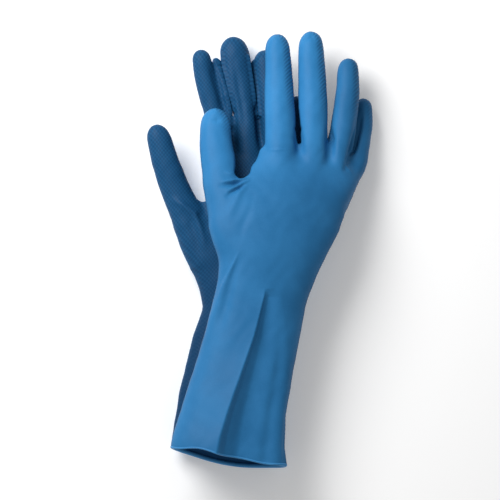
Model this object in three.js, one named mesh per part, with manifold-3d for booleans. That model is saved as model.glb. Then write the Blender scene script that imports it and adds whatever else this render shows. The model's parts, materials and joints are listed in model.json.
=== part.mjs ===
// A pair of long-cuff household rubber gloves, lying one on the other with the palms together.
// The left glove lies on its back on the surface, palm up. The right glove lies on it, palm down.
// Each glove is one dipped rubber film, built here as the regions that bend against each other:
// a gauntlet with its rolled bead, a palm, and a stall for each digit.
// Millimetres. +Y runs from the cuffs to the fingertips, +Z up, thumbs towards -X.
import * as THREE from "three";
import { mergeVertices } from "three/addons/utils/BufferGeometryUtils.js";
import Module from "manifold-3d";

const FILM = 0.6; // thickness of the rubber
const GAP = 0.3; // clearance between two regions of one film
const BEAD_RADIUS = 1.6; // rolled edge of the cuff
const SURFACE = 0; // height of what the pair lies on

const WRIST = 3 / 8; // where the wrist is, as a share of the hand's stations
const MOUTH_CUT = 2; // how far the hollow runs out past the cuff

const HAND_CORNERS = 24; // corners of a ring round the gauntlet and the palm
const HAND_RINGS = 15;
const DIGIT_CORNERS = 12;
const DIGIT_RINGS = 6;
const DOME_RINGS = 3; // rings that round off a fingertip
const DOME_CAP = 0.35; // share of a ring step left flat at the very tip
const BEAD_STEPS = 36;
const BEAD_CORNERS = 8;
const REACH = 400; // larger than the pair, for cutting tools

const BLUE = { color: 0x2f74b5, roughness: 0.42, metalness: 0 };
const BLUE_BEAD = { color: 0x3d86c8, roughness: 0.38, metalness: 0 };

const UP = new THREE.Vector3(0, 0, 1);

// A hand station is one ring across the glove: its thumb-side edge, its other edge, and its depth.
// A digit station is a point of the centre line with the width and depth there, and the last one
// is the fingertip. bend is where the digit's film bends, as a share of its centre line. lean is
// the way it bends, in degrees: 0 is up, and 90 is level, towards the little-finger side.
const RIGHT = {
  wristLean: 0,
  hand: [
    { left: [-67, -146, 46.5], right: [18.5, -160, 44.5], depth: 37 },
    { left: [-54, -103, 44], right: [20.5, -113, 42], depth: 34 },
    { left: [-43, -68, 43], right: [25, -83, 41], depth: 32 },
    { left: [-31, -17, 47], right: [34.5, -35, 42.5], depth: 31 },
    { left: [-35.5, 0, 49.5], right: [50, -2, 42], depth: 31 },
    { left: [-40, 26, 49], right: [61, 24, 37], depth: 31 },
    { left: [-18, 50, 43], right: [70, 41, 31], depth: 27 },
    { left: [-7, 66, 38], right: [75, 54, 25], depth: 21 },
    { left: [-1, 77, 36], right: [70, 62, 25], depth: 15 },
  ],
  digits: {
    thumb: {
      line: [
        [-18, 12, 46, 34, 26],
        [-26, 38, 43, 33, 24],
        [-30, 56, 39, 28, 20],
        [-33.5, 74, 35, 24, 18],
        [-34, 91, 32, 23, 17],
        [-33.5, 105.5, 31, 20, 15],
      ],
      bend: 0.54,
      lean: 0,
    },
    index: {
      line: [
        [13, 52, 37, 24, 20],
        [14.5, 76, 36, 23, 18.5],
        [13.8, 102, 35, 22, 18],
        [12.5, 132, 31, 19.5, 17],
        [11.8, 161.5, 29, 17, 15],
      ],
      bend: 0.27,
      lean: 0,
    },
    middle: {
      line: [
        [36, 50, 33, 23, 20],
        [38, 76, 33, 21.5, 18.5],
        [38.2, 104, 32, 22, 18],
        [37.4, 134, 29, 20.5, 17],
        [36.3, 164.5, 27, 18, 15],
      ],
      bend: 0.28,
      lean: 0,
    },
    ring: {
      line: [
        [53, 44, 28, 21, 19],
        [56, 68, 28, 20, 17.5],
        [61, 96, 27, 19, 17],
        [64, 122, 24, 17.5, 16],
        [64.5, 145.3, 22, 15.5, 14],
      ],
      bend: 0.34,
      lean: 0,
    },
    little: {
      line: [
        [56, 32, 28, 19, 18],
        [66, 56, 21, 18, 16.5],
        [73, 84, 14, 17, 16],
        [75.4, 102, 10.5, 16, 15],
        [75.4, 118, 9, 14, 13.5],
      ],
      bend: 0.5,
      lean: 45,
    },
  },
};

const LEFT = {
  wristLean: -90,
  hand: [
    { left: [-65.5, -140, 11], right: [19, -152, 11], depth: 26 },
    { left: [-60, -106, 10], right: [18, -113, 10], depth: 25 },
    { left: [-51, -74, 10], right: [20, -80, 10], depth: 25 },
    { left: [-43, -37, 12], right: [24, -42, 12], depth: 28.5 },
    { left: [-48, -12, 13], right: [36, -12, 13], depth: 30.5 },
    { left: [-50, 24, 13], right: [44, 22, 12], depth: 30 },
    { left: [-48, 50, 12], right: [42, 44, 11], depth: 27 },
    { left: [-42, 68, 10.5], right: [37, 58, 10], depth: 22 },
    { left: [-37, 78, 9.5], right: [30, 66, 9.5], depth: 16 },
  ],
  digits: {
    thumb: {
      line: [
        [-33, -4, 14, 34, 25],
        [-46.5, 14, 15, 30, 23],
        [-56, 30, 16, 26, 20],
        [-63, 46, 17, 23, 18],
        [-71, 67, 20, 21.5, 17],
        [-78, 94, 23, 18, 15],
      ],
      bend: 0.5,
      lean: 0,
    },
    index: {
      line: [
        [-23.5, 58, 10, 21, 19],
        [-30.6, 82, 9.6, 19, 18.5],
        [-36, 112, 9.6, 19, 18],
        [-41, 131, 12, 18, 17],
        [-45.8, 152, 15, 16, 15],
      ],
      bend: 0.57,
      lean: 0,
    },
    middle: {
      line: [
        [-5.5, 56, 10, 22, 19],
        [-10.2, 82, 9.6, 20.6, 18.5],
        [-14, 112, 9.6, 20.8, 18],
        [-18, 137, 11, 20.5, 17],
        [-21.6, 162, 13, 18, 15],
      ],
      bend: 0.55,
      lean: 0,
    },
    ring: {
      line: [
        [10.4, 52, 9.8, 20.5, 18],
        [10.4, 74, 9.2, 18.8, 17.5],
        [8.4, 102, 9, 18, 17],
        [5.6, 126, 9, 17.5, 16.5],
        [1.5, 153, 9, 15.5, 15],
      ],
      bend: 0.32,
      lean: 0,
    },
    little: {
      line: [
        [27, 42, 9.6, 18.5, 17.5],
        [28.8, 62, 9, 17.2, 17],
        [29, 84, 8.6, 16.6, 16],
        [27.7, 104, 8.6, 15.8, 15.5],
        [25.4, 119, 8.6, 14.2, 14],
      ],
      bend: 0.37,
      lean: 90,
    },
  },
};

const wasm = await Module();
wasm.setup();

// --- solids and booleans -----------------------------------------------------------------

function solidOf(geometry) {
  const bare = new THREE.BufferGeometry();
  bare.setAttribute("position", geometry.getAttribute("position"));
  bare.setIndex(geometry.index);
  const merged = mergeVertices(bare);
  return new wasm.Manifold(
    new wasm.Mesh({
      numProp: 3,
      vertProperties: new Float32Array(merged.attributes.position.array),
      triVerts: new Uint32Array(merged.index.array),
    }),
  );
}

function geometryOf(solid) {
  const mesh = solid.getMesh();
  const geometry = new THREE.BufferGeometry();
  geometry.setAttribute("position", new THREE.BufferAttribute(mesh.vertProperties, 3));
  geometry.setIndex(new THREE.BufferAttribute(mesh.triVerts, 1));
  geometry.computeVertexNormals();
  return geometry;
}

// A box that holds everything ahead of a point, looking along a direction.
function spaceAhead(point, direction) {
  const box = new THREE.BoxGeometry(REACH, REACH, REACH);
  const turn = new THREE.Quaternion().setFromUnitVectors(new THREE.Vector3(0, 1, 0), direction);
  box.translate(0, REACH / 2, 0).applyQuaternion(turn).translate(point.x, point.y, point.z);
  return solidOf(box);
}

// --- lofts -------------------------------------------------------------------------------

// Smooth values between stations, each a list of numbers, at a share of the way along them.
function between(stations, share) {
  const last = stations.length - 1;
  const i = Math.min(Math.floor(share * last), last - 1);
  const t = share * last - i;
  const [before, from, to, after] = [i - 1, i, i + 1, i + 2].map(
    (k) => stations[THREE.MathUtils.clamp(k, 0, last)],
  );
  const [square, cube] = [t ** 2, t ** 3];
  return from.map((value, n) => {
    const slopeIn = (to[n] - before[n]) / 2;
    const slopeOut = (after[n] - value) / 2;
    return (
      (2 * cube - 3 * square + 1) * value +
      (cube - 2 * square + t) * slopeIn +
      (3 * square - 2 * cube) * to[n] +
      (cube - square) * slopeOut
    );
  });
}

// The points of an elliptical ring. Its underside is pressed flat at the given height.
function ringPoints({ middle, side, up, width, depth }, corners, floor) {
  const points = [];
  for (let i = 0; i < corners; i++) {
    const angle = (i / corners) * 2 * Math.PI;
    const point = middle
      .clone()
      .addScaledVector(side, (width / 2) * Math.cos(angle))
      .addScaledVector(up, (depth / 2) * Math.sin(angle));
    point.z = Math.max(point.z, floor);
    points.push(point);
  }
  return points;
}

// A closed solid whose skin runs over rings of equal length, with a flat cap at each end.
function loft(rings) {
  const corners = rings[0].length;
  const points = rings.flat();
  const faces = [];
  const at = (ring, corner) => ring * corners + (corner % corners);
  for (let ring = 0; ring + 1 < rings.length; ring++) {
    for (let i = 0; i < corners; i++) {
      const [a, b, c, d] = [at(ring, i), at(ring, i + 1), at(ring + 1, i + 1), at(ring + 1, i)];
      faces.push(a, c, b, a, d, c);
    }
  }
  for (const ring of [0, rings.length - 1]) {
    const centre = points.length;
    const middle = new THREE.Vector3();
    for (const point of rings[ring]) middle.addScaledVector(point, 1 / corners);
    points.push(middle);
    for (let i = 0; i < corners; i++) {
      const edge = [at(ring, i), at(ring, i + 1)];
      faces.push(...(ring === 0 ? edge : edge.reverse()), centre);
    }
  }
  const geometry = new THREE.BufferGeometry().setFromPoints(points);
  geometry.setIndex(faces);
  return solidOf(geometry);
}

// The line about which the film beyond a ring bends. It lies on the side that it bends towards,
// so the film opens on the far side and never has to pass through itself.
function hingeOf({ middle, forward, side, up, width, depth }, lean) {
  const angle = THREE.MathUtils.degToRad(lean);
  const towards = up.clone().multiplyScalar(Math.cos(angle)).addScaledVector(side, Math.sin(angle));
  const reach = Math.hypot((depth / 2) * Math.cos(angle), (width / 2) * Math.sin(angle));
  return {
    point: middle.clone().addScaledVector(towards, reach),
    axis: forward.clone().cross(towards),
  };
}

// --- the hand: gauntlet and palm ---------------------------------------------------------

// The ring across the hand at a share of its length.
function handRing(stations, share) {
  const flat = stations.map((station) => [...station.left, ...station.right, station.depth]);
  const values = between(flat, share);
  const left = new THREE.Vector3(...values.slice(0, 3));
  const right = new THREE.Vector3(...values.slice(3, 6));
  const across = right.clone().sub(left);
  const side = across.clone().normalize();
  const forward = UP.clone().cross(side).normalize();
  const up = side.clone().cross(forward);
  const middle = left.add(right).divideScalar(2);
  return { middle, side, forward, up, width: across.length(), depth: values[6] };
}

function handRings(stations, inset) {
  const rings = [];
  for (let i = 0; i < HAND_RINGS; i++) {
    const ring = handRing(stations, i / (HAND_RINGS - 1));
    const shrunk = { ...ring, width: ring.width - 2 * inset, depth: ring.depth - 2 * inset };
    rings.push(ringPoints(shrunk, HAND_CORNERS, SURFACE + inset));
  }
  return rings;
}

// The hollow runs out through the cuff and stops one film short of the knuckles.
function handHollow(stations) {
  const rings = handRings(stations, FILM);
  const [mouth, end] = [handRing(stations, 0), handRing(stations, 1)];
  const outside = rings[0].map((p) => p.clone().addScaledVector(mouth.forward, -MOUTH_CUT));
  for (const point of rings[rings.length - 1]) point.addScaledVector(end.forward, -FILM);
  return loft([outside, ...rings]);
}

function cuffBead(stations) {
  const mouth = handRing(stations, 0);
  const inside = { ...mouth, width: mouth.width - BEAD_RADIUS, depth: mouth.depth - BEAD_RADIUS };
  const line = ringPoints(inside, HAND_CORNERS, SURFACE + BEAD_RADIUS);
  for (const point of line) point.addScaledVector(mouth.forward, -BEAD_RADIUS - GAP);
  const path = new THREE.CatmullRomCurve3(line, true, "catmullrom", 0);
  return solidOf(new THREE.TubeGeometry(path, BEAD_STEPS, BEAD_RADIUS, BEAD_CORNERS, true));
}

// --- the digits --------------------------------------------------------------------------

// The ring across a digit at a share of its length.
function digitRing(line, share) {
  const curve = new THREE.CatmullRomCurve3(line.map(([x, y, z]) => new THREE.Vector3(x, y, z)));
  const middle = curve.getPointAt(share);
  const forward = curve.getTangentAt(share);
  const side = forward.clone().cross(UP).normalize();
  const up = side.clone().cross(forward);
  const [width, depth] = between(line, curve.getUtoTmapping(share)).slice(3);
  return { middle, side, forward, up, width, depth, length: curve.getLength() };
}

// A digit ends in a dome. Its hollow is one inset smaller on every side, its base included.
function digitLoft(line, inset) {
  const { length, width: tipWidth } = digitRing(line, 1);
  const domeStart = 1 - tipWidth / 2 / length;
  const stops = [];
  for (let i = 0; i <= DIGIT_RINGS; i++) {
    stops.push([THREE.MathUtils.lerp(inset / length, domeStart, i / DIGIT_RINGS), 1]);
  }
  for (let i = 1; i <= DOME_RINGS; i++) {
    const angle = (i / (DOME_RINGS + DOME_CAP)) * (Math.PI / 2);
    const domeHeight = (tipWidth / 2 - inset) * Math.sin(angle);
    stops.push([domeStart + domeHeight / length, Math.cos(angle)]);
  }
  return loft(
    stops.map(([share, dome]) => {
      const ring = digitRing(line, share);
      const [width, depth] = [ring.width, ring.depth].map((size) => (size - 2 * inset) * dome);
      return ringPoints({ ...ring, width, depth }, DIGIT_CORNERS, SURFACE + inset);
    }),
  );
}

// --- one glove ---------------------------------------------------------------------------

function addMesh(group, name, solid, finish) {
  const mesh = new THREE.Mesh(geometryOf(solid), new THREE.MeshStandardMaterial(finish));
  mesh.name = name;
  group.add(mesh);
}

// An empty object that marks a bend: it stands on the hinge line, with its X axis along it.
function addHinge(group, name, { point, axis }) {
  const marker = new THREE.Object3D();
  marker.name = `${name}_bend`;
  marker.position.copy(point);
  marker.quaternion.setFromUnitVectors(new THREE.Vector3(1, 0, 0), axis);
  group.add(marker);
}

function glove(name, { wristLean, hand, digits }) {
  const group = new THREE.Group();
  let outside = loft(handRings(hand, 0));
  let hollow = handHollow(hand);

  for (const [digit, { line, bend, lean }] of Object.entries(digits)) {
    const stall = digitLoft(line, 0);
    const stallHollow = digitLoft(line, FILM);
    const ring = digitRing(line, bend);
    const beyond = spaceAhead(ring.middle, ring.forward);
    const fromGap = spaceAhead(ring.middle.clone().addScaledVector(ring.forward, -GAP), ring.forward);
    addMesh(group, `${name}_${digit}`, stall.subtract(stallHollow).intersect(beyond), BLUE);
    addHinge(group, `${name}_${digit}`, hingeOf(ring, lean));
    outside = outside.add(stall.subtract(fromGap));
    hollow = hollow.add(stallHollow);
  }

  const film = outside.subtract(hollow);
  const wrist = handRing(hand, WRIST);
  const back = wrist.forward.clone().negate();
  const palmSpace = spaceAhead(wrist.middle, wrist.forward);
  const gauntletSpace = spaceAhead(wrist.middle.clone().addScaledVector(back, GAP), back);
  addMesh(group, `${name}_palm`, film.intersect(palmSpace), BLUE);
  addMesh(group, `${name}_gauntlet`, film.intersect(gauntletSpace), BLUE);
  addMesh(group, `${name}_cuff_bead`, cuffBead(hand), BLUE_BEAD);
  addHinge(group, `${name}_wrist`, hingeOf({ ...wrist, forward: back }, wristLean));
  return group;
}

const pair = new THREE.Group();
pair.add(glove("left", LEFT), glove("right", RIGHT));

// The origin is the middle of what the pair covers, on the surface it lies on.
const covered = new THREE.Box3().setFromObject(pair);
const middle = covered.getCenter(new THREE.Vector3());
pair.position.set(-middle.x, -middle.y, -covered.min.z);

export default pair;
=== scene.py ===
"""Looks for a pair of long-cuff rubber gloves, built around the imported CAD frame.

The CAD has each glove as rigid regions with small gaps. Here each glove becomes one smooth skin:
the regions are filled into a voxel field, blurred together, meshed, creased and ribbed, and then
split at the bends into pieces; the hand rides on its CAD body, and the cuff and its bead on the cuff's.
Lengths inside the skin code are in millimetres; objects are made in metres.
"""
import json
import math

import bpy
import numpy as np
import openvdb as vdb
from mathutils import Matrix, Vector
from mathutils.bvhtree import BVHTree


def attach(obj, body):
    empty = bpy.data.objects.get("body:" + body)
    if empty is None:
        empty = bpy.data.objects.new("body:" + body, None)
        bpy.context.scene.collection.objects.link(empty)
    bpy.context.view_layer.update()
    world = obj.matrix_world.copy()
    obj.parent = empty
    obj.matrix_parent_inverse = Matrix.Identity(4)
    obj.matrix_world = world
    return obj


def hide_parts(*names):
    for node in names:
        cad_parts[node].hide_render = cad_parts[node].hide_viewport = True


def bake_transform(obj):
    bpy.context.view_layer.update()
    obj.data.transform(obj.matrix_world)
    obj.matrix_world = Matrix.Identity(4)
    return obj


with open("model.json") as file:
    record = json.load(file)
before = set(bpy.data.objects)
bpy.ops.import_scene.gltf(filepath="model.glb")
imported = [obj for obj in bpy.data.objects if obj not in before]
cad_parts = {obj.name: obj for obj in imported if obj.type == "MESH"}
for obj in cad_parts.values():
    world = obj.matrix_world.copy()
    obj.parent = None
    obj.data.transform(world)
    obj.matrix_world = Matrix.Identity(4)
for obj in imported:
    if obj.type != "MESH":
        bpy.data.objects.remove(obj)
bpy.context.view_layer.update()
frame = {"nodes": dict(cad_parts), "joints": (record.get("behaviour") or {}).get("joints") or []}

MM = 1000.0  # millimetres in a metre
LEAST_LENGTH = 1e-9  # a vector shorter than this has no direction

SIDES = ("left", "right")
DIGITS = ("thumb", "index", "middle", "ring", "little")

# The block of voxels that a glove is filled into
VOXEL = 1.0  # the size of one
MARGIN = 9  # voxels of empty space round a glove
FAR = 12.0  # distance given to places far from the skin
DIGIT_BLUR = 2.1  # how softly the digits are rounded
HAND_BLUR = 4.2  # and the hand and gauntlet
BLUR_SPAN = 3  # a blur reaches this many times its size
SHARE_LIMIT = 0.004  # a blurred share is kept this far from 0 and 1
ODDS_TO_DISTANCE = 0.5879  # a distance, in blurs, for each step of a share's log odds
JOIN_DEPTH = 6.0  # a digit is closed on to the palm this near its bend
BRIDGE = 1.0  # a region reaches this far over the gap to its neighbour
MOUTH_RUN = 12.0  # the gauntlet's field runs on past its mouth

# How far behind its hinge each digit leaves the palm
ROOT_BACK = {
    "left": {"thumb": 14, "index": 31, "middle": 34, "ring": 8, "little": 4},
    "right": {"thumb": 8, "index": 4, "middle": 5, "ring": 8, "little": 9},
}
ROOT_FADE = 14.0  # the run over which its sharper shape turns into the hand's
ROOT_SIDE = 3.0  # how far outside a digit its sharper shape starts to fade

# Moving points on to the skin
SETTLE_ROUNDS = 3
SETTLE_STEP = 0.6  # the longest move in one round
LEAST_STEEPNESS = 0.05  # a flatter place than this in the field isn't trusted

# How far the skin moves out again where the blur took most off
PLUMP = 0.3  # all over
DIGIT_PLUMP = {  # on the sides of the digits
    "left": {"thumb": -0.3, "index": -0.9, "middle": 1.8, "ring": 1.2, "little": 0.3},
    "right": {"thumb": 0.5, "index": 0.7, "middle": 0.2, "ring": 0.2, "little": -0.4},
}
DIGIT_START = (-10, 10)  # past its bend, where a digit's own amount takes over
DIGIT_EDGE = (1, 4)  # and how far outside the digit it has gone
TIP_PLUMP = 1.7  # at their tips
LONG_TIPS = {"left_index": 2.2, "left_thumb": 1.2}  # and more at these
OUTLINE = {  # on the edges of a hand, as (y, on the thumb's side, on the other side)
    "left": [
        (-165, 3.0, -3.5), (-115, 3.2, -1.5), (-85, 4.4, 2.0), (-60, 4.4, 3.0), (-39, 1.4, 3.0),
        (-28, 2.6, 3.0), (-10, 4.6, 3.0), (8, 2.3, 2.0), (25, -0.8, 1.0), (60, 0.0, 0.0),
        (90, 0.0, 0.0), (105, -2.2, 0.0), (120, -2.0, 0.0),
    ],
    "right": [
        (-165, 1.0, 1.6), (-150, 1.0, -1.2), (-126, 1.0, -1.2), (-105, 1.0, 1.0), (-20, 1.0, 1.4),
        (0, 1.0, 1.4), (14, 1.0, 2.5), (24, 1.0, 1.2), (34, 0.8, -2.5), (48, 0.5, -2.8),
        (60, 0.4, -0.4), (70, 0.4, 0.6),
    ],
}
SIDE_MIX = (-0.6, 0.6)  # a normal's x, where the thumb's side turns into the other side

# The film and its rolled edge
FILM = 0.6  # its thickness
INSIDE_RUN = 54.0  # the inside of the film starts this far from the wrist's hinge, in the hand
EDGE_REACH = 5.0  # an open edge this near the mouth is the mouth's edge
BEAD_LOW = 1.6  # the bead's radius on the lower lip
BEAD_HIGH = 0.7  # and on the upper lip
BEAD_PROUD = 0.5  # how far the rolled edge stands out of the film
BEAD_STEPS = 260
BEAD_SIDES = 14
BEAD_SMOOTHING = 8  # how many times its path is smoothed
BEAD_LIP = (-0.3, 0.6)  # where the lower lip turns into the upper one, in half depths
MOUTH_SQUASH = 3.0  # how much wider than deep the mouth is

# The bends
WRIST_BEFORE = 14.0  # the wrist piece starts this far before its hinge
WRIST_AFTER = 34.0  # and the cuff piece starts this far after it
DIGIT_BEND = 22.0  # a length along a digit from its base
DIGIT_REACH = 4.0  # skin this near a digit's own shape goes to that digit's piece
BASE_SLICE = 4.0  # the base of a digit is where its first few millimetres are

# Waves of the upper lip of the mouth: size, length over 2 pi, start
HEM_WAVE = {
    "left": ((0.8, 11.0, 0.5),),
    "right": ((1.3, 12.0, 2.2), (0.7, 5.5, 0.4)),
}
HEM_REACH = 3.0  # how far the upper lip comes out over the lower one
HEM_SAG = {"left": 2.0, "right": 4.0}  # how far the lower lip hangs out
SAG_SPREAD = 30.0  # and how far from the middle it has mostly gone
HEM_LIP = (-0.2, 0.9)  # where the lower lip turns into the upper one, in half depths

# Slits between digits that lie close together, as (x, y, half width) at each end
SLITS = {
    "left": [
        ((-46.5, 76, 6.5), (-43.5, 43, 4.5)),
    ],
    "right": [
        ((-12, 70, 6.5), (-12.6, 57.5, 5.6)),
        ((27.4, 104, 0.8), (28.0, 90, 2.2)),
        ((28.0, 90, 2.2), (29.2, 80, 1.6)),
    ],
}
SLIT_ROUND = 2.0  # how round the lips of a slit are

# Where two digits lie against each other, as points of the line between them
PARTINGS = {
    "left": {
        ("index", "middle"): ((-29.6, 150), (-28.7, 141), (-26.3, 132), (-23, 118), (-20.5, 106)),
        ("middle", "ring"): ((-7.4, 148), (-5, 132), (-3, 118), (-1.5, 106)),
    },
    "right": {},
}
PARTING_WIDTH = 0.9  # half of what is cut out between them
PARTING_GAP = 0.12  # what is left open once their walls are pressed together
PARTING_REACH = (2.0, 3.2)  # how far from the line a wall is pressed, fading out
PARTING_END = (1.0, 3.0)  # and how far past the line's ends
PARTING_FACING = (0.1, 0.6)  # how much a wall has to face the line

# Film of a digit pinched up, as (x, y, z, radius) at each end
PINCHES = {
    "left": {
        "index": [
            ((-32, 141.5, 11, 4.2), (-24.5, 118, 12, 4.6)),
            ((-24.5, 118, 12, 4.6), (-21, 98, 11, 4.6)),
        ],
    },
    "right": {},
}
PINCH_ROUND = 1.2  # how round the crease beside it is

# Folds of the upper side, as lines of (x, y, height, width)
FOLDS = {
    "left": [
        # fold over the base of the thumb
        [(-68, 41, 0, 3), (-58, 35, 1.6, 2.5), (-49, 28, 1.8, 2.5), (-44, 16, 1.4, 2.5), (-41, 0, 0, 3)],
        [(-60, 30, 0, 3), (-52, 22, -1.4, 3.5), (-47, 8, -1.0, 3.5), (-44, -8, 0, 3)],
        # the pinched film beside the index finger
        [(-34, 146, 0, 1.4), (-31, 139, 0.5, 1.6), (-24, 121, 0.6, 1.8), (-21, 104, 0, 2.0)],
        [(-39, 146, 0, 2.0), (-35.5, 136, -0.9, 2.4), (-29.5, 116, -1.3, 2.6), (-26, 100, 0, 2.8)],
        [(-24, 126, 0, 1.8), (-20.5, 114, -1.2, 2.2), (-19, 84, -1.2, 2.4), (-17, 70, 0, 3)],
        # a crease along the middle finger
        [(-20.5, 148, 0, 2.5), (-17, 130, -1.0, 2.4), (-13, 108, -1.2, 2.6), (-11, 88, 0, 3)],
        # the valley between the middle and ring fingers
        [(-3.4, 124, 0, 1.6), (-2.4, 114, -3.0, 1.8), (-0.6, 92, -3.0, 2.0), (1.5, 76, 0, 3)],
    ],
    "right": [
        # wrinkles at the thumb's web
        [(-9, 50, 0.3, 1.0), (-12, 49.3, 1.4, 1.0), (-20, 48.2, 1.9, 1.2), (-29, 47.2, 0, 1.4)],
        [(-13, 47.2, 0, 1.0), (-18.7, 46, -1.9, 1.3), (-25, 45.3, -1.4, 1.5), (-32, 44.5, 0, 2.0)],
        [(-8, 49, 0.3, 0.9), (-14, 45.3, 1.5, 1.1), (-20, 42, 1.2, 1.3), (-26, 38.5, 0, 2.0)],
        [(-11, 45.5, 0, 1.0), (-15, 43, -1.8, 1.3), (-21.6, 38.8, -1.2, 1.6), (-26, 34, 0, 2.0)],
        [(-8, 46, 0, 1.0), (-15, 39, 0.9, 2.4), (-20, 28, 0.9, 3.4), (-25, 14, 0, 4.0)],
        [(-17, 51.5, 0.3, 1.0), (-22, 53.6, 1.0, 1.1), (-27, 55.5, 0, 1.3)],
        # the edge of the index bone, from the thumb's web to the wrist
        [(-4, 44, 0, 2.0), (-7.5, 26, -0.4, 2.8), (-13, 12, -0.5, 3.0), (-16.5, -6, 0, 3.0)],
        # ridge and valley over the wrist
        [(-15.5, -6, 0, 1.0), (-21, -18, 1.0, 1.4), (-26, -30, 1.6, 2.2), (-31, -46, 1.2, 3.0),
         (-40, -70, 0, 4.0)],
        [(-14, -10, 0, 1.5), (-20, -26, -0.8, 3.0), (-26, -46, -1.3, 4.0), (-35, -76, 0, 5.0)],
        # webs running back over the knuckles
        [(28, 92, 0, 2.5), (28.5, 82, -2.5, 2.8), (29.5, 73, -1.6, 3.2), (32, 60, 0, 5.0)],
        [(51, 94, 0, 2.2), (52, 83, -3.6, 2.8), (52, 74, -2.4, 3.2), (51, 60, 0, 5.0)],
        [(76, 108, 0, 2.0), (73, 92, -3.2, 2.6), (69.5, 78, -3.6, 2.6), (66.5, 68, -2.6, 2.2),
         (62, 57, 0, 2.0)],
        # a pinch of film below the ring finger's web
        [(63, 66, 0, 1.2), (64.5, 62, 0.8, 1.2), (69, 56, 0, 1.4)],
        # a shallow hollow along the gauntlet, beyond the pleat
        [(16, -55, 0, 3.0), (14, -95, -1.2, 4.0), (9, -133, -1.5, 4.5), (6, -160, -1.3, 5.0)],
        # dents in the tips of the index and middle fingers
        [(7, 156, 0, 1.6), (11, 158, 0.6, 1.6), (16, 156, 0, 1.6)],
        [(32, 157, 0, 1.6), (38, 160, -0.8, 1.8), (42, 156, 0, 1.6)],
        # the thumb's tip, pushed in
        [(-38, 100, 0, 2.0), (-33, 102, 0.9, 2.2), (-28, 100, 0, 2.0)],
        [(-37, 96, 0, 2.0), (-32, 96, -0.8, 2.2), (-28, 96, 0, 2.0)],
        # light line over the base of the index finger
        [(4, 73, 0, 1.0), (12, 72.5, 0.3, 1.0), (22, 73, 0, 1.0)],
    ],
}
FOLDED_SIDE = (0.05, 0.45)  # a normal's z, where the folds of the upper side fade in

# The pleat along a gauntlet: its shoulder's x and y, then its width and depth
PLEATS = {
    "left": [],
    "right": [
        (3.5, -34, 1.5, 0.0), (2.7, -40, 2.0, 1.6), (-4.6, -69, 3.6, 3.6), (-15, -100, 5.5, 5.6),
        (-23.7, -126, 7.0, 7.0), (-29.5, -146, 8.4, 7.8), (-33, -165, 9.0, 8.0),
    ],
}
# Its section: the height and length of the shoulder's slope, and, in widths from the shoulder,
# where the slope ends, the low side falls away and it has risen again
PLEAT_SHOULDER = 0.5
PLEAT_SLOPE = 1.8
PLEAT_LIP = (-0.1, 0.6)
PLEAT_FALL = (-0.2, 1.9)
PLEAT_RISE = (2.0, 6.8)

# Swells all over the film: height, length over 2 pi
SWELLS = ((0.10, 2.3), (0.22, 5.7))
SWELL_WANDER = 1.3  # how far their rows wander, in radians
SWELL_STRETCH = 1.4  # how much longer they are in y

# The grip: fine ribs over the palm side, and round the tips of the right glove
GRIP_PITCH = 2.0  # from one rib to the next
GRIP_DEPTH = 0.22
RIB_SLANT = (0.77, 0.64)  # the direction across the ribs, in x and y
GRIP_FACING = (-0.1, 0.4)  # how much a place has to face the palm's way
TIP_GRIP = 0.65  # how strongly it shows round the tips, seen from the back of the hand
TIP_RUN = (12, 44)  # past the bend, where it fades in
TIP_RADIUS = 20  # and how far from the digit's line it ends
TIP_PALMWARD = (0.74, 0.0, -0.67)  # the way that the tips' grip is turned
TIP_FACING = (-0.5, -0.1)  # and how much a place has to face that way

# How much painted shade darkens the blue, from 0 to 1, and where it changes
PALM_PAINTED_SHADE = 0.70
PALM_CUFF_PAINTED_SHADE = 0.26  # more towards the cuff, over this run of y
PALM_CUFF_RUN = (-60, 20)
BACK_PAINTED_SHADE = 0.26
BACK_FAR_PAINTED_SHADE = 0.14  # more on the little finger's side, over this run of x
BACK_FAR_RUN = (-10, 50)
BACK_KNUCKLES = (35, 95)  # over this run of y it goes, towards the fingertips
BACK_LITTLE = (45, 68)  # but not beyond this run of x
PAINTED_SHADE_FACING = (-0.5, 0.3)  # where the back's depth turns into the palm's

# The rubber: each finish has a light and a dark blue, in clouds, and a roughness
FRONT_LIGHT = (0.036, 0.228, 0.510, 1)
FRONT_DARK = (0.028, 0.192, 0.440, 1)
BEAD_LIGHT = (0.055, 0.260, 0.540, 1)
BEAD_DARK = (0.045, 0.220, 0.480, 1)
# painted shade: the inside of the film is the same latex, given darker blues for the shade inside the
# glove
INSIDE_PAINTED_SHADE_LIGHT = (0.024, 0.120, 0.290, 1)
INSIDE_PAINTED_SHADE_DARK = (0.018, 0.095, 0.235, 1)
# painted shade: the dark blue that the palm side, the cuff end and the little finger's side are mixed
# towards
PAINTED_SHADE_BLUE = (0.004, 0.040, 0.105, 1)
# painted shade in the grooves of the grip: the blue their bottoms are mixed towards
GROOVE_PAINTED_SHADE = (0.006, 0.042, 0.115, 1)
GROOVE_SHADE_MIX = 0.75  # how far painted shade takes the bottom of a rib's furrow towards its blue
FRONT_ROUGHNESS = 0.48
BEAD_ROUGHNESS = 0.36
INSIDE_ROUGHNESS = 0.55
CLOUD_SCALE = 38.0
MOTTLE_SCALE = 900.0

# The studio, in metres
FLOOR_HALF = 3.0
FLOOR_HEIGHT = -0.0006
FLOOR_WHITE = (0.92, 0.92, 0.92, 1)
FLOOR_GLOW = 0.2
WORLD_STRENGTH = 0.30
WHITE = (1, 1, 1, 1)
LIGHTS = [  # name, place, aim, size, power
    ("key", (-0.46, 0.45, 0.68), (0, 0.02, 0), 0.6, 9.2),
    ("fill", (0.2, -1.2, 0.9), (0, 0, 0), 1.4, 2.0),
]

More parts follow.
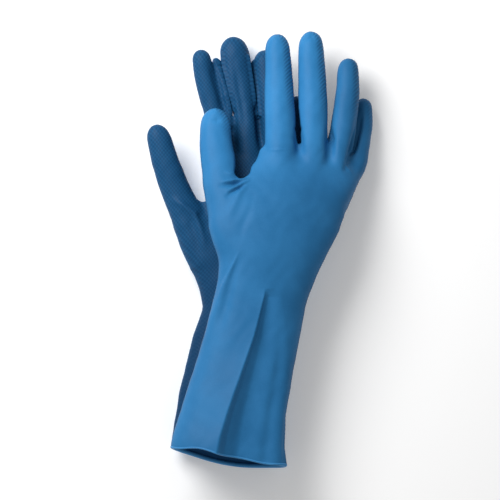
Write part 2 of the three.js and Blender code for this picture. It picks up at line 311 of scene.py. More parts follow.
CAMERA_ELEVATION = 80.0
CAMERA_DISTANCE = 6.0
CAMERA_AIM = (-0.0076, 0.0, 0.03)
FRAME_WIDTH = 0.370  # what the camera sees at its aim
SENSOR = 36.0  # in millimetres


def smoothstep(low, high, value):
    """0 below low, 1 above high, smooth between."""
    t = np.clip((value - low) / (high - low), 0.0, 1.0)
    return t * t * (3.0 - 2.0 * t)


def unit(vector):
    """The vector or rows of vectors at length 1."""
    return vector / np.maximum(np.linalg.norm(vector, axis=-1, keepdims=True), LEAST_LENGTH)


def node_points(name):
    """The vertices of a CAD node, in millimetres."""
    mesh = frame["nodes"][name].data
    points = np.zeros(len(mesh.vertices) * 3)
    mesh.vertices.foreach_get("co", points)
    return points.reshape(-1, 3) * MM


def node_tree(name):
    """A search tree of a CAD node's faces, in millimetres."""
    faces = [tuple(face.vertices) for face in frame["nodes"][name].data.polygons]
    return BVHTree.FromPolygons([tuple(p) for p in node_points(name)], faces)


class Field:
    """A block of voxels: origin is the centre of the first one."""

    def __init__(self, low, high):
        self.origin = np.floor(low / VOXEL) * VOXEL - MARGIN * VOXEL
        self.shape = tuple(int(n) for n in np.ceil((high - self.origin) / VOXEL) + MARGIN + 1)

    def block(self, low, high):
        """The slices that hold a box, with a margin round it."""
        first = np.floor((low - self.origin) / VOXEL).astype(int) - MARGIN
        last = np.ceil((high - self.origin) / VOXEL).astype(int) + MARGIN + 1
        return tuple(
            slice(max(a, 0), min(b, n)) for a, b, n in zip(first, last, self.shape)
        )

    def centres(self, axis, part=slice(None)):
        """Positions of the voxel centres along one axis."""
        return (self.origin[axis] + np.arange(self.shape[axis]) * VOXEL)[part]

    def sample(self, values, points):
        """Values of an array at points, interpolated between voxel centres."""
        place = (points - self.origin) / VOXEL
        top = np.array(self.shape) - 2
        cell = np.clip(np.floor(place).astype(int), 0, top)
        share = np.clip(place - cell, 0.0, 1.0)
        total = 0.0
        for corner in np.ndindex(2, 2, 2):
            weight = np.ones(len(points))
            for axis in range(3):
                weight *= share[:, axis] if corner[axis] else 1.0 - share[:, axis]
            at = cell + np.array(corner)
            picked = values[at[:, 0], at[:, 1], at[:, 2]]
            total = total + (picked.T * weight).T
        return total


def column_heights(name, xs, ys):
    """The highest and lowest point of a CAD node over each x and y; nan where it isn't."""
    tree = node_tree(name)
    points = node_points(name)
    low, high = points.min(0), points.max(0)
    top = np.full((len(xs), len(ys)), np.nan, np.float32)
    bottom = top.copy()
    down, up = Vector((0, 0, -1)), Vector((0, 0, 1))
    for i, x in enumerate(xs):
        if not low[0] < x < high[0]:
            continue
        for j, y in enumerate(ys):
            if not low[1] < y < high[1]:
                continue
            hit = tree.ray_cast(Vector((x, y, high[2] + 1)), down)[0]
            if hit is None:
                continue
            top[i, j] = hit.z
            bottom[i, j] = tree.ray_cast(Vector((x, y, low[2] - 1)), up)[0].z
    return top, bottom


def run_on(heights, distance, pitch):
    """Carries heights on along Y, over a gap or past an open end."""
    step = 1 if distance > 0 else -1
    for _ in range(int(abs(distance) / pitch)):
        moved = np.roll(heights, step, axis=1)
        heights = np.where(np.isnan(heights), moved, heights)
    return heights


class Columns:
    """The highest and lowest point of a CAD node's outer shape over a fine grid of x and y."""

    def __init__(self, field, name, run=0.0):
        self.field = field
        pitch = VOXEL / 2
        points = node_points(name)
        reach = np.array([0, abs(run), 0])
        self.part = field.block(points.min(0) - reach, points.max(0) + reach)
        self.xs, self.ys = [
            (field.centres(axis, self.part[axis])[:, None] + np.array([-0.5, 0.5]) * pitch).ravel()
            for axis in (0, 1)
        ]
        top, bottom = column_heights(name, self.xs, self.ys)
        self.top, self.bottom = run_on(top, run, pitch), run_on(bottom, run, pitch)

    def cover(self):
        """The share of each voxel that lies between the highest and lowest points."""
        floors = self.field.centres(2) - VOXEL / 2
        share = np.clip((self.top[:, :, None] - floors) / VOXEL, 0, 1)
        share -= np.clip((self.bottom[:, :, None] - floors) / VOXEL, 0, 1)
        share = np.nan_to_num(share)
        nx, ny, nz = share.shape
        whole = np.zeros(self.field.shape, np.float32)
        whole[self.part[:2]] = share.reshape(nx // 2, 2, ny // 2, 2, nz).mean((1, 3))
        return whole

    def join(self, other, bend):
        """Closes the open end where this region meets the one it bends on."""
        shift = [2 * (self.part[axis].start - other.part[axis].start) for axis in (0, 1)]
        xs, ys = np.meshgrid(self.xs, self.ys, indexing="ij")
        places = np.stack([xs, ys, np.full(xs.shape, bend.base[2])], -1).reshape(-1, 3)
        near = (np.abs(bend.past(places)) < JOIN_DEPTH) & (bend.off_line(places) < bend.radius)
        i, j = np.nonzero(near.reshape(xs.shape))
        a, b = i + shift[0], j + shift[1]
        shared = (a >= 0) & (b >= 0) & (a < other.top.shape[0]) & (b < other.top.shape[1])
        i, j, a, b = i[shared], j[shared], a[shared], b[shared]
        self.top[i, j] = np.fmax(self.top[i, j], other.top[a, b])
        self.bottom[i, j] = np.fmin(self.bottom[i, j], other.bottom[a, b])


def blurred(values, sigma):
    """A Gaussian blur of an array, axis by axis."""
    reach = int(math.ceil(BLUR_SPAN * sigma / VOXEL))
    offsets = np.arange(-reach, reach + 1)
    weights = np.exp(-0.5 * (offsets * VOXEL / sigma) ** 2)
    weights /= weights.sum()
    for axis in range(3):
        pad = [(0, 0)] * 3
        pad[axis] = (reach, reach)
        padded = np.pad(values, pad)
        count = values.shape[axis]
        values = sum(
            w * np.take(padded, range(k, k + count), axis=axis)
            for k, w in enumerate(weights.astype(np.float32))
        )
    return values


def distance_of(share, sigma):
    """How far outside the skin a voxel is, from its blurred share; negative inside."""
    share = np.clip(share, SHARE_LIMIT, 1.0 - SHARE_LIMIT)
    return -sigma * ODDS_TO_DISTANCE * np.log(share / (1.0 - share))


def joint_place(name):
    """Where a joint is, in millimetres."""
    return np.array(next(j for j in frame["joints"] if j["name"] == name)["pos_m"]) * MM


class Bend:
    """Where a digit bends: a plane at its base that faces along it."""

    def __init__(self, name):
        points = node_points(name)
        hinge = next(j for j in frame["joints"] if j["name"] == f"{name}_bend")
        axis = unit(np.array(hinge["axis"]))
        ahead = np.linalg.svd(points - points.mean(0), full_matrices=False)[2][0]
        ahead -= (ahead @ axis) * axis
        self.ahead = unit(ahead) * np.sign(ahead[1])
        reach = points @ self.ahead
        near = reach < reach.min() + BASE_SLICE
        self.base = points[near].mean(0)
        self.radius = np.linalg.norm(points[near] - self.base, axis=1).max()

    def past(self, points):
        """How far past the plane points are."""
        return (points - self.base) @ self.ahead

    def off_line(self, points):
        """How far points are from the line through the base."""
        rest = points - self.base
        return np.linalg.norm(rest - np.outer(rest @ self.ahead, self.ahead), axis=1)

    def place(self, distance):
        """The place that far past the plane, in metres."""
        return tuple((self.base + self.ahead * distance) / MM)


class Mouth:
    """The open end of a gauntlet: its bead's plane, with a wavy upper lip and a sagging lower one."""

    def __init__(self, side):
        points = node_points(f"{side}_cuff_bead")
        self.centre = (points.min(0) + points.max(0)) / 2
        spread = points - points.mean(0)
        self.out = np.linalg.svd(spread, full_matrices=False)[2][2]
        self.out *= -np.sign(self.out[1])
        self.wave = HEM_WAVE[side]
        self.sag = HEM_SAG[side]
        self.depth = np.ptp(points[:, 2]) / 2

    def past(self, points):
        """How far past the mouth's edge points are."""
        upper = smoothstep(*HEM_LIP, (points[:, 2] - self.centre[2]) / self.depth)
        sag = self.sag * np.exp(-(((points[:, 0] - self.centre[0]) / SAG_SPREAD) ** 2))
        wave = sum(size * np.sin(points[:, 0] / length + start)
                   for size, length, start in self.wave)
        return (points - self.centre) @ self.out - (wave + HEM_REACH) * upper - sag * (1 - upper)


class Wrist:
    """Where a gauntlet bends: a line from the hinge towards the mouth."""

    def __init__(self, side, mouth):
        self.hinge = joint_place(f"{side}_wrist_bend")
        self.toward = unit((mouth.centre - self.hinge) * (1, 1, 0))

    def past(self, points):
        """How far past the hinge points are, towards the mouth."""
        return (points - self.hinge) @ self.toward

    def place(self, distance):
        """The place that far past the hinge, in metres."""
        return tuple((self.hinge + self.toward * distance) / MM)


def stroke_profile(points, stroke):
    """Height of one fold at points: a line of (x, y, height, width) with a soft section."""
    line = np.array(stroke, float)
    nearest = np.full(len(points), np.inf)
    profile = np.zeros(len(points))
    for a, b in zip(line[:-1], line[1:]):
        along = b[:2] - a[:2]
        t = np.clip((points[:, :2] - a[:2]) @ along / (along @ along), 0, 1)
        gap = np.linalg.norm(points[:, :2] - (a[:2] + t[:, None] * along), axis=1)
        height, width = (a[2:] + t[:, None] * (b[2:] - a[2:])).T
        closer = gap < nearest
        nearest = np.where(closer, gap, nearest)
        profile = np.where(closer, height * np.exp(-((gap / width) ** 2)), profile)
    return profile


def pleat_profile(points, pleat):
    """A pleat that starts at a point and widens: a sharp shoulder over a long low side."""
    xs, ys, widths, depths = np.array(pleat[::-1], float).T
    across = (points[:, 0] - np.interp(points[:, 1], ys, xs)) / np.interp(points[:, 1], ys, widths)
    slope = PLEAT_SHOULDER * np.exp(np.minimum(across, 0.0) / PLEAT_SLOPE)
    shoulder = slope * (1 - smoothstep(*PLEAT_LIP, across))
    low_side = smoothstep(*PLEAT_FALL, across) * (1 - smoothstep(*PLEAT_RISE, across))
    return np.interp(points[:, 1], ys, depths) * (shoulder - low_side)


def carved(distance, grid, slit):
    """The field with a slit cut through it, from (x, y, half width) to (x, y, half width)."""
    a, b = np.array(slit, float)
    along = b[:2] - a[:2]
    flat = grid[:, :, 0, :2]
    t = np.clip((flat - a[:2]) @ along / (along @ along), 0, 1)
    gap = np.linalg.norm(flat - a[:2] - t[..., None] * along, axis=-1)
    inside = (a[2] + t * (b[2] - a[2]) - gap)[:, :, None]
    blend = np.clip(0.5 + 0.5 * (inside - distance) / SLIT_ROUND, 0, 1)
    return distance * (1 - blend) + inside * blend + SLIT_ROUND * blend * (1 - blend)


def ridge_distance(grid, ridge):
    """The distance from a round ridge, from (x, y, z, radius) to (x, y, z, radius)."""
    a, b = np.array(ridge, float)
    along = b[:3] - a[:3]
    t = np.clip((grid - a[:3]) @ along / (along @ along), 0, 1)
    return np.linalg.norm(grid - a[:3] - t[..., None] * along, axis=-1) - a[3] - t * (b[3] - a[3])


def joined(first, second, rounding):
    """Two fields as one, with the crease between them rounded."""
    blend = np.clip(0.5 + 0.5 * (second - first) / rounding, 0, 1)
    return second * (1 - blend) + first * blend - rounding * blend * (1 - blend)


class Glove:
    """One glove before it has a skin: its bends, its mouth, and how far each voxel is outside it."""

    def __init__(self, side):
        self.side = side
        self.mouth = Mouth(side)
        self.wrist = Wrist(side, self.mouth)
        self.bends = {digit: Bend(f"{side}_{digit}") for digit in DIGITS}
        clouds = [node_points(f"{side}_{part}") for part in ("palm", "gauntlet") + DIGITS]
        self.field = Field(np.min([c.min(0) for c in clouds], 0), np.max([c.max(0) for c in clouds], 0))
        self.own = {}  # the distance from each digit alone
        centres = [self.field.centres(axis) for axis in range(3)]
        grid = np.stack(np.meshgrid(*centres, indexing="ij"), -1)
        self.distance = self.worked(self.filled(grid), grid).astype(np.float32)
        self.gradient = np.stack(np.gradient(self.distance, VOXEL), -1).astype(np.float32)

    def filled(self, grid):
        """Distances from the regions joined: softer over the hand, sharper along the digits."""
        palm_columns = Columns(self.field, f"{self.side}_palm")
        palm = palm_columns.cover()
        gauntlet = np.maximum(*[Columns(self.field, f"{self.side}_gauntlet", run).cover()
                                for run in (-MOUTH_RUN, BRIDGE)])
        hand = distance_of(blurred(np.maximum(palm, gauntlet), HAND_BLUR), HAND_BLUR)
        share = np.zeros(self.field.shape, np.float32)
        union = np.full(self.field.shape, FAR, np.float32)
        for digit in DIGITS:
            part, stall = self.stall(digit, palm_columns)
            near = distance_of(blurred(np.maximum(palm, stall)[part], DIGIT_BLUR), DIGIT_BLUR)
            self.own[digit] = np.full(self.field.shape, FAR, np.float32)
            self.own[digit][part] = distance_of(blurred(stall[part], DIGIT_BLUR), DIGIT_BLUR)
            union[part] = np.minimum(union[part], near)
            share[part] = np.maximum(share[part], self.digit_share(digit, grid[part]))
        return np.where(union < FAR, hand * (1 - share) + union * share, hand) - PLUMP

    def stall(self, digit, palm_columns):
        """A digit's block of voxels, and the share of each voxel of the field that it fills."""
        name = f"{self.side}_{digit}"
        bend = self.bends[digit]
        points = node_points(name)
        ahead = bend.radius + ROOT_FADE
        back = ROOT_BACK[self.side][digit] + ROOT_FADE + 2 * bend.radius
        part = self.field.block(np.minimum(points.min(0), bend.base - back),
                                np.maximum(points.max(0), bend.base + ahead))
        columns = Columns(self.field, name, -BRIDGE)
        columns.join(palm_columns, bend)
        return part, columns.cover()

    def digit_share(self, digit, grid):
        """How much a digit's sharper shape shows at the voxels of a block."""
        bend = self.bends[digit]
        places = grid.reshape(-1, 3)
        past = bend.past(places) + ROOT_BACK[self.side][digit]
        beside = smoothstep(bend.radius + ROOT_SIDE, bend.radius + ROOT_FADE, bend.off_line(places))
        weight = smoothstep(-ROOT_FADE, 0, past) * (1 - beside)
        return weight.reshape(grid.shape[:3])

    def worked(self, distance, grid):
        """The distances once film is pinched up, digits are parted and slits are cut."""
        for digit, ridges in PINCHES[self.side].items():
            for ridge in ridges:
                ridge_field = ridge_distance(grid, ridge)
                distance = joined(distance, ridge_field, PINCH_ROUND)
                self.own[digit] = np.minimum(self.own[digit], ridge_field)
        width = (PARTING_WIDTH,)
        for line in PARTINGS[self.side].values():
            for a, b in zip(line, line[1:]):
                distance = carved(distance, grid, (a + width, b + width))
        for slit in SLITS[self.side]:
            distance = carved(distance, grid, slit)
        return distance

    def normals(self, points):
        """The directions out of the skin at points."""
        return unit(self.field.sample(self.gradient, points))

    def near(self, digit, points):
        """How far points are outside one digit."""
        return self.field.sample(self.own[digit], points)

    def settled(self, points):
        """Points moved on to the skin."""
        for _ in range(SETTLE_ROUNDS):
            off = np.clip(self.field.sample(self.distance, points), -SETTLE_STEP, SETTLE_STEP)
            slope = self.field.sample(self.gradient, points)
            steep = np.maximum((slope ** 2).sum(1), LEAST_STEEPNESS)
            points = points - (off / steep)[:, None] * slope
        return points


def mesh_of(name, points, faces):
    """A smooth mesh from arrays of points and quads."""
    mesh = bpy.data.meshes.new(name)
    mesh.vertices.add(len(points))
    mesh.vertices.foreach_set("co", points.astype(np.float32).ravel())
    mesh.loops.add(faces.size)
    mesh.loops.foreach_set("vertex_index", faces.astype(np.int32).ravel())
    mesh.polygons.add(len(faces))
    mesh.polygons.foreach_set("loop_start", np.arange(0, faces.size, faces.shape[1], dtype=np.int32))
    mesh.update(calc_edges=True)
    mesh.polygons.foreach_set("use_smooth", np.ones(len(faces), bool))
    return mesh


def vectors(source, key):
    """One vector from each item of a mesh's vertices or vertex normals."""
    values = np.zeros(len(source) * 3, np.float32)
    source.foreach_get(key, values)
    return values.reshape(-1, 3).astype(float)


def quad_array(mesh):
    """The corners of a mesh of quads."""
    values = np.zeros(len(mesh.loops), np.int32)
    mesh.loops.foreach_get("vertex_index", values)
    return values.reshape(-1, 4)


def normals_of(points, faces):
    """Vertex normals of a skin."""
    mesh = mesh_of("normals", points, faces)
    normals = vectors(mesh.vertex_normals, "vector")
    bpy.data.meshes.remove(mesh)
    return normals


def subdivided(points, faces):
    """The quads split in four, smoothly."""
    rough = bpy.data.objects.new("rough", mesh_of("rough", points, faces))
    bpy.context.scene.collection.objects.link(rough)
    split = rough.modifiers.new("split", "SUBSURF")
    split.levels = 1
    split.boundary_smooth = "PRESERVE_CORNERS"
    graph = bpy.context.evaluated_depsgraph_get()
    mesh = bpy.data.meshes.new_from_object(rough.evaluated_get(graph))
    result = vectors(mesh.vertices, "co"), quad_array(mesh)
    bpy.data.objects.remove(rough)
    bpy.data.meshes.remove(mesh)
    return result


def upward(side):
    """Which way the palm of a glove faces: 1 up, -1 down."""
    return 1.0 if side == "left" else -1.0


def unevenness(points):
    """Small swells of the film, wandering so that they never line up."""
    x, y = points[:, 0], points[:, 1]
    total = 0.0
    for height, length in SWELLS:
        across = np.sin(x / length + SWELL_WANDER * np.sin(y / (3 * length)))
        along = np.sin(y / (SWELL_STRETCH * length) + np.sin(x / (2 * length)))
        total = total + height * across * along
    return total


def relief(side, points, normals):
    """How far folds, the pleat and swells push the skin, at points."""
    height = sum(stroke_profile(points, stroke) for stroke in FOLDS[side])
    if PLEATS[side]:
        height = height + pleat_profile(points, PLEATS[side])
    return height * smoothstep(*FOLDED_SIDE, normals[:, 2]) + unevenness(points)


def plumping(glove, points, normals):
    """How far the skin moves out again where the blur took most off."""
    edge = 1.0 - np.abs(normals[:, 2])
    rows = np.array(OUTLINE[glove.side]).T
    thumb_side, far_side = [np.interp(points[:, 1], rows[0], row) for row in rows[1:]]
    far_share = smoothstep(*SIDE_MIX, normals[:, 0])
    amount = (thumb_side * (1 - far_share) + far_side * far_share) * edge
    for digit, bend in glove.bends.items():
        share = smoothstep(*DIGIT_START, bend.past(points))
        share = share * (1 - smoothstep(*DIGIT_EDGE, glove.near(digit, points)))
        tip = np.clip(normals @ bend.ahead, 0, 1) ** 2
        at_tip = TIP_PLUMP + LONG_TIPS.get(f"{glove.side}_{digit}", 0.0)
        own_amount = DIGIT_PLUMP[glove.side][digit] * edge + at_tip * tip
        amount = amount * (1 - share) + own_amount * share
    return amount


def pressed(side, points, normals):
    """The points, with the walls of each parting moved across until they all but touch."""
    moved = points.copy()
    for line in PARTINGS[side].values():
        xs, ys = np.array(line[::-1], float).T
        gap = np.interp(points[:, 1], ys, xs) - points[:, 0]
        facing = smoothstep(*PARTING_FACING, normals[:, 0] * np.sign(gap))
        near = 1 - smoothstep(*PARTING_REACH, np.abs(gap))
        beyond = np.maximum(ys[0] - points[:, 1], points[:, 1] - ys[-1])
        beside = 1 - smoothstep(*PARTING_END, beyond)
        moved[:, 0] += facing * near * beside * (gap - np.sign(gap) * PARTING_GAP)
    return moved


def grip_share(glove, points, normals):
    """How strongly the grip shows: all over the palm side, and round the right glove's tips."""
    facing = smoothstep(*GRIP_FACING, normals[:, 2] * upward(glove.side))
    if glove.side == "right":
        tips = np.max([smoothstep(*TIP_RUN, bend.past(points)) * (bend.off_line(points) < TIP_RADIUS)
                       for bend in glove.bends.values()], 0)
        palmward = smoothstep(*TIP_FACING, normals @ np.array(TIP_PALMWARD))
        facing = np.maximum(facing, TIP_GRIP * palmward * tips)
    return facing


def grip_height(side, points):
    """The height of the grip, from 0 to 1: slanting ribs on the right glove, diamonds on the left."""
    turn = 2 * math.pi / GRIP_PITCH
    across, along = points[:, 0] * RIB_SLANT[0], points[:, 1] * RIB_SLANT[1]
    ribs = np.cos((along - across) * turn)
    if side == "right":
        return 0.5 + 0.5 * ribs
    crossing = np.cos((along + across) * turn)
    return 0.5 + 0.25 * (ribs + crossing)


def painted_shade_share(side, points, normals):
    """How much painted shade darkens the blue: more on the palm side and at the cuff, less so at the
    fingertips.
    """
    x, y = points[:, 0], points[:, 1]
    palm = PALM_PAINTED_SHADE + PALM_CUFF_PAINTED_SHADE * (1 - smoothstep(*PALM_CUFF_RUN, y))
    back = BACK_PAINTED_SHADE + BACK_FAR_PAINTED_SHADE * smoothstep(*BACK_FAR_RUN, x)
    back *= np.maximum(1 - smoothstep(*BACK_KNUCKLES, y), smoothstep(*BACK_LITTLE, x))
    facing = smoothstep(*PAINTED_SHADE_FACING, normals[:, 2] * upward(side))
    return back * (1 - facing) + palm * facing


def across_partings(side, points):
    """For each digit, the points that lie on the other side of its partings."""
    across = {digit: np.zeros(len(points), bool) for digit in DIGITS}
    for (first, second), line in PARTINGS[side].items():
        xs, ys = np.array(line[::-1], float).T
        beyond = points[:, 0] > np.interp(points[:, 1], ys, xs)
        across[first] |= beyond
        across[second] |= ~beyond
    return across


def pieces_at(glove, points):
    """Which piece each point belongs to."""
    label = np.full(len(points), "hand", dtype=object)
    closest = np.full(len(points), DIGIT_REACH)
    across = across_partings(glove.side, points)
    for digit, bend in glove.bends.items():
        near = glove.near(digit, points)
        hit = (bend.past(points) > 0) & (near < closest) & ~across[digit]
        label[hit] = digit
        closest[hit] = near[hit]
    past = glove.wrist.past(points)
    label[(past > -WRIST_BEFORE) & (label == "hand")] = "wrist"
    label[(past > WRIST_AFTER) & (label == "wrist")] = "cuff"
    return label


def add_piece(name, finish, points, faces, normals, attributes):
    """An object from part of a skin, with the whole skin's normals so that no seam shows."""
    used, index = np.unique(faces, return_inverse=True)
    mesh = mesh_of(name, points[used] / MM, index.reshape(faces.shape))
    for key, values in attributes.items():
        kind, slot = ("FLOAT_VECTOR", "vector") if values.ndim == 2 else ("FLOAT", "value")
        layer = mesh.attributes.new(key, kind, "POINT")
        layer.data.foreach_set(slot, values[used].astype(np.float32).ravel())
    mesh.normals_split_custom_set_from_vertices(normals[used])
    mesh.materials.append(material(finish))
    piece = bpy.data.objects.new(name, mesh)
    bpy.context.scene.collection.objects.link(piece)
    return piece


def coarse_skin(glove):
    """Points and quads of the field's surface, facing out and cut off at the mouth."""
    grid = vdb.FloatGrid(FAR)
    grid.copyFromArray(glove.distance)
    grid.transform = vdb.createLinearTransform(voxelSize=VOXEL)
    points, faces = grid.convertToQuads(isovalue=0)
    points = points.astype(float) + glove.field.origin
    faces = faces.astype(np.int64)
    faces = faces[glove.mouth.past(points[faces].mean(1)) < 0]
    used, index = np.unique(faces, return_inverse=True)
    points, faces = points[used], index.reshape(-1, 4)
    outward = glove.field.sample(glove.gradient, points)
    if (normals_of(points, faces) * outward).sum() < 0:
        faces = faces[:, ::-1]
    return points, faces


def edge_points(faces):
    """The vertices on the open edge of a mesh of quads."""
    edges = np.sort(np.stack([faces, np.roll(faces, -1, 1)], -1).reshape(-1, 2), 1)
    pairs, counts = np.unique(edges, axis=0, return_counts=True)
    return np.unique(pairs[counts == 1])


def trimmed(points, faces, mouth):
    """The open edge near the mouth moved onto the mouth's line."""
    edge = edge_points(faces)
    edge = edge[mouth.past(points[edge]) > -EDGE_REACH]
    points = points.copy()
    points[edge] -= mouth.past(points[edge])[:, None] * mouth.out
    return points, edge


def mouth_path(ring, mouth):
    """The points of the mouth's edge, in order round it, evenly spaced and smoothed."""
    across = unit(np.cross(mouth.out, (0, 0, 1)))
    rise = np.cross(across, mouth.out)
    flat = ring - mouth.centre
    loop = ring[np.argsort(np.arctan2(flat @ rise * MOUTH_SQUASH, flat @ across))]
    loop = np.concatenate([loop, loop[:1]])
    length = np.concatenate([[0], np.cumsum(np.linalg.norm(np.diff(loop, axis=0), axis=1))])
    steps = np.linspace(0, length[-1], BEAD_STEPS, endpoint=False)
    path = np.stack([np.interp(steps, length, loop[:, axis]) for axis in range(3)], 1)
    for _ in range(BEAD_SMOOTHING):
        path = (np.roll(path, 1, 0) + 2 * path + np.roll(path, -1, 0)) / 4
    return path


def bead(name, ring, mouth):
    """The rolled edge: a tube along the mouth, thinner on the upper lip."""
    path = mouth_path(ring, mouth)
    tangent = unit(np.roll(path, -1, 0) - np.roll(path, 1, 0))
    side = unit(np.cross(tangent, mouth.out))
    out = np.cross(side, tangent)
    upper = smoothstep(*BEAD_LIP, (path[:, 2] - mouth.centre[2]) / mouth.depth)
    radius = BEAD_LOW + (BEAD_HIGH - BEAD_LOW) * upper
    inward = side * np.sign(((mouth.centre - path) * side).sum(1, keepdims=True))
    path = path + inward * (radius - BEAD_PROUD)[:, None]
    turn = np.linspace(0, 2 * math.pi, BEAD_SIDES, endpoint=False)[:, None]
    section = side[:, None] * np.cos(turn) + out[:, None] * np.sin(turn)
    points = (path[:, None] + radius[:, None, None] * section).reshape(-1, 3)
    index = np.arange(BEAD_STEPS * BEAD_SIDES).reshape(BEAD_STEPS, BEAD_SIDES)
    ahead, beside = np.roll(index, -1, 0), np.roll(index, -1, 1)
    faces = np.stack([index, beside, np.roll(ahead, -1, 1), ahead], -1).reshape(-1, 4)
    normals = normals_of(points, faces)
    if ((points - np.repeat(path, BEAD_SIDES, 0)) * normals).sum() < 0:
        faces = faces[:, ::-1]
        normals = -normals
    return add_piece(name, "bead", points, faces, normals, {"rest": points / MM})


def outer_pieces(glove, coarse, coarse_faces):
    """The outside of a glove, split into its pieces, and the points of its open edge."""
    points, faces = subdivided(coarse, coarse_faces)
    rest, edge = trimmed(glove.settled(points), faces, glove.mouth)
    normals = glove.normals(rest)
    height = relief(glove.side, rest, normals) + plumping(glove, rest, normals)
    points = pressed(glove.side, rest + normals * height[:, None], normals)
    grip = grip_share(glove, rest, normals)
    ribs = grip * grip_height(glove.side, rest)
    points = points + normals * (GRIP_DEPTH * ribs)[:, None]
    shaded = normals_of(points, faces)
    label = pieces_at(glove, rest[faces].mean(1))
    # painted shade over the blue, from 0 to 1
    painted_shade = painted_shade_share(glove.side, rest, normals)
    # painted shade at the bottom of the grip's grooves, where the ribs are low
    attributes = {"rest": rest / MM, "groove_shade": grip - ribs, "painted_shade": painted_shade}
    pieces = {
        part: add_piece(f"{glove.side}_{part}_skin", "rubber", points, faces[label == part],
                        shaded, attributes)
        for part in ("hand", "wrist", "cuff") + DIGITS
    }
    return pieces, points[edge]


def inside_piece(glove, coarse, coarse_faces):
    """The inside of the film, from the mouth to past the wrist."""
    faces = coarse_faces[:, ::-1]
    faces = faces[(glove.wrist.past(coarse)[faces] > -INSIDE_RUN).all(1)]
    normals = glove.normals(coarse)
    push = relief(glove.side, coarse, normals) - FILM + plumping(glove, coarse, normals)
    points = trimmed(coarse, faces, glove.mouth)[0] + normals * push[:, None]
    return add_piece(f"{glove.side}_inside", "inside", points, faces, -normals, {"rest": coarse / MM})


def build_glove(side):
    """All pieces of one glove; the hand, the cuff and the bead ride on its CAD bodies."""
    glove = Glove(side)
    coarse, coarse_faces = coarse_skin(glove)
    made, edge = outer_pieces(glove, coarse, coarse_faces)
    made["inside"] = inside_piece(glove, coarse, coarse_faces)
    made["bead"] = bead(f"{side}_bead_roll", edge, glove.mouth)
    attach(made["hand"], f"{side}_hand")
    for part in ("cuff", "bead"):
        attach(made[part], f"{side}_cuff")
    wrist_line = [glove.wrist.place(t) for t in (-WRIST_BEFORE, WRIST_AFTER)]
    for part in ("wrist", "inside"):
        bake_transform(made[part])
    for digit, bend in glove.bends.items():
        digit_line = [bend.place(t) for t in (0.0, DIGIT_BEND)]
        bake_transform(made[digit])
        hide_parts(f"{side}_{digit}")
    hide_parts(f"{side}_palm")
    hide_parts(f"{side}_gauntlet")
    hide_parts(f"{side}_cuff_bead")


def material(name):
    """One of the finishes, made once."""
    return bpy.data.materials.get(name) or FINISHES[name](name)


def new_material(name):
    """A material with its Principled shader, and a helper that adds nodes."""
    made = bpy.data.materials.new(name)
    made.use_nodes = True
    nodes, links = made.node_tree.nodes, made.node_tree.links
    shader = nodes["Principled BSDF"]

    def add(kind, inputs=None, **settings):
        node = nodes.new(kind)
        for key, value in settings.items():
            setattr(node, key, value)
        for key, value in (inputs or {}).items():
            if isinstance(value, bpy.types.NodeSocket):
                links.new(value, node.inputs[key])
            else:
                node.inputs[key].default_value = value
        return node

    return made, shader, add, links


def rubber_base(name, light, dark, roughness):
    """The dipped latex: cloudy colour, fine mottling and a satin gloss that varies a little."""
    made, shader, add, links = new_material(name)
    rest = add("ShaderNodeAttribute", attribute_name="rest").outputs["Vector"]
    cloud = add("ShaderNodeTexNoise", {"Vector": rest, "Scale": CLOUD_SCALE, "Detail": 4.0})
    fine = add("ShaderNodeTexNoise", {"Vector": rest, "Scale": MOTTLE_SCALE, "Detail": 2.0})
    mixed = add("ShaderNodeMath", {0: fine.outputs["Fac"], 1: 0.25, 2: cloud.outputs["Fac"]},
                operation="MULTIPLY_ADD")
    tone = add("ShaderNodeMapRange", {"Value": mixed.outputs[0], "From Min": 0.45, "From Max": 0.76})
    colour = add("ShaderNodeMix", {"Factor": tone.outputs[0], 6: dark, 7: light}, data_type="RGBA")
    gloss = add("ShaderNodeMapRange", {"Value": cloud.outputs["Fac"], "From Min": 0.3, "From Max": 0.7,
                                       "To Min": roughness - 0.04, "To Max": roughness + 0.05})
    bump = add("ShaderNodeBump", {"Height": fine.outputs["Fac"], "Strength": 0.06, "Distance": 0.0003})
    shader.inputs["Specular IOR Level"].default_value = 0.10
    links.new(gloss.outputs[0], shader.inputs["Roughness"])
    links.new(colour.outputs[2], shader.inputs["Base Color"])
    links.new(bump.outputs[0], shader.inputs["Normal"])
    return made, shader, add, links, colour


def rubber_finish(name):
    """The outside: painted shade makes the blue darker on the palm side, and darker in the grooves of
    the grip.
    """
    made, shader, add, links, colour = rubber_base(name, FRONT_LIGHT, FRONT_DARK, FRONT_ROUGHNESS)
    # painted shade: the blue is mixed darker where shade is painted and at the bottom of the grip's
    # grooves
    for attribute, tint, most in (("painted_shade", PAINTED_SHADE_BLUE, 1.0), ("groove_shade", GROOVE_PAINTED_SHADE, GROOVE_SHADE_MIX)):
        share = add("ShaderNodeAttribute", attribute_name=attribute).outputs["Fac"]
        factor = add("ShaderNodeMath", {0: share, 1: most}, operation="MULTIPLY")
        colour = add("ShaderNodeMix", {"Factor": factor.outputs[0], 6: colour.outputs[2], 7: tint},
                     data_type="RGBA")
    links.new(colour.outputs[2], shader.inputs["Base Color"])
    return made


def bead_finish(name):
    """The rolled edge: thicker, so lighter and glossier."""
    return rubber_base(name, BEAD_LIGHT, BEAD_DARK, BEAD_ROUGHNESS)[0]


def inside_finish(name):
    """The inside of the film, a dark blue painted as shade inside the glove."""
    return rubber_base(name, INSIDE_PAINTED_SHADE_LIGHT, INSIDE_PAINTED_SHADE_DARK, INSIDE_ROUGHNESS)[0]


FINISHES = {"rubber": rubber_finish, "bead": bead_finish, "inside": inside_finish}


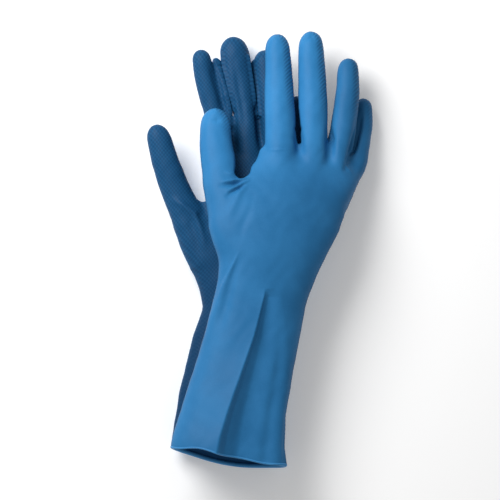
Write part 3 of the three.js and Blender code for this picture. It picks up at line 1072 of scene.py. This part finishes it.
def build_floor():
    """A plain pale floor, lit a little from within so that it stays white."""
    corners = [(-1, -1, 0), (1, -1, 0), (1, 1, 0), (-1, 1, 0)]
    points = np.array(corners, float) * FLOOR_HALF + (0, 0, FLOOR_HEIGHT)
    floor = bpy.data.objects.new("floor", mesh_of("floor", points, np.array([[0, 1, 2, 3]])))
    bpy.context.scene.collection.objects.link(floor)
    made, shader = new_material("floor")[:2]
    shader.inputs["Base Color"].default_value = FLOOR_WHITE
    shader.inputs["Roughness"].default_value = 0.9
    shader.inputs["Emission Color"].default_value = WHITE
    shader.inputs["Emission Strength"].default_value = FLOOR_GLOW
    floor.data.materials.append(made)


def area_light(name, place, aim, size, power):
    """A soft square light at place that points at aim."""
    data = bpy.data.lights.new(name, "AREA")
    data.size = size
    data.energy = power
    lamp = bpy.data.objects.new(name, data)
    lamp.location = place
    lamp.rotation_euler = (Vector(aim) - Vector(place)).to_track_quat("-Z", "Y").to_euler()
    bpy.context.scene.collection.objects.link(lamp)


def build_lights():
    """The lamps and the white surroundings."""
    for light in LIGHTS:
        area_light(*light)
    world = bpy.data.worlds.new("studio")
    world.use_nodes = True
    world.node_tree.nodes["Background"].inputs["Color"].default_value = WHITE
    world.node_tree.nodes["Background"].inputs["Strength"].default_value = WORLD_STRENGTH
    bpy.context.scene.world = world
    bpy.context.scene.view_settings.view_transform = "Standard"


def build_camera():
    """A camera far off, high over the near side, so that the gloves look almost flat on."""
    data = bpy.data.cameras.new("camera")
    data.sensor_width = SENSOR
    data.lens = SENSOR * CAMERA_DISTANCE / FRAME_WIDTH
    data.clip_end = 3 * CAMERA_DISTANCE
    camera = bpy.data.objects.new("camera", data)
    rise = math.radians(CAMERA_ELEVATION)
    back = Vector((0, -math.cos(rise), math.sin(rise)))
    camera.location = Vector(CAMERA_AIM) + back * CAMERA_DISTANCE
    camera.rotation_euler = (-back).to_track_quat("-Z", "Y").to_euler()
    bpy.context.scene.collection.objects.link(camera)
    bpy.context.scene.camera = camera


for glove_side in SIDES:
    build_glove(glove_side)
build_floor()
build_lights()
build_camera()
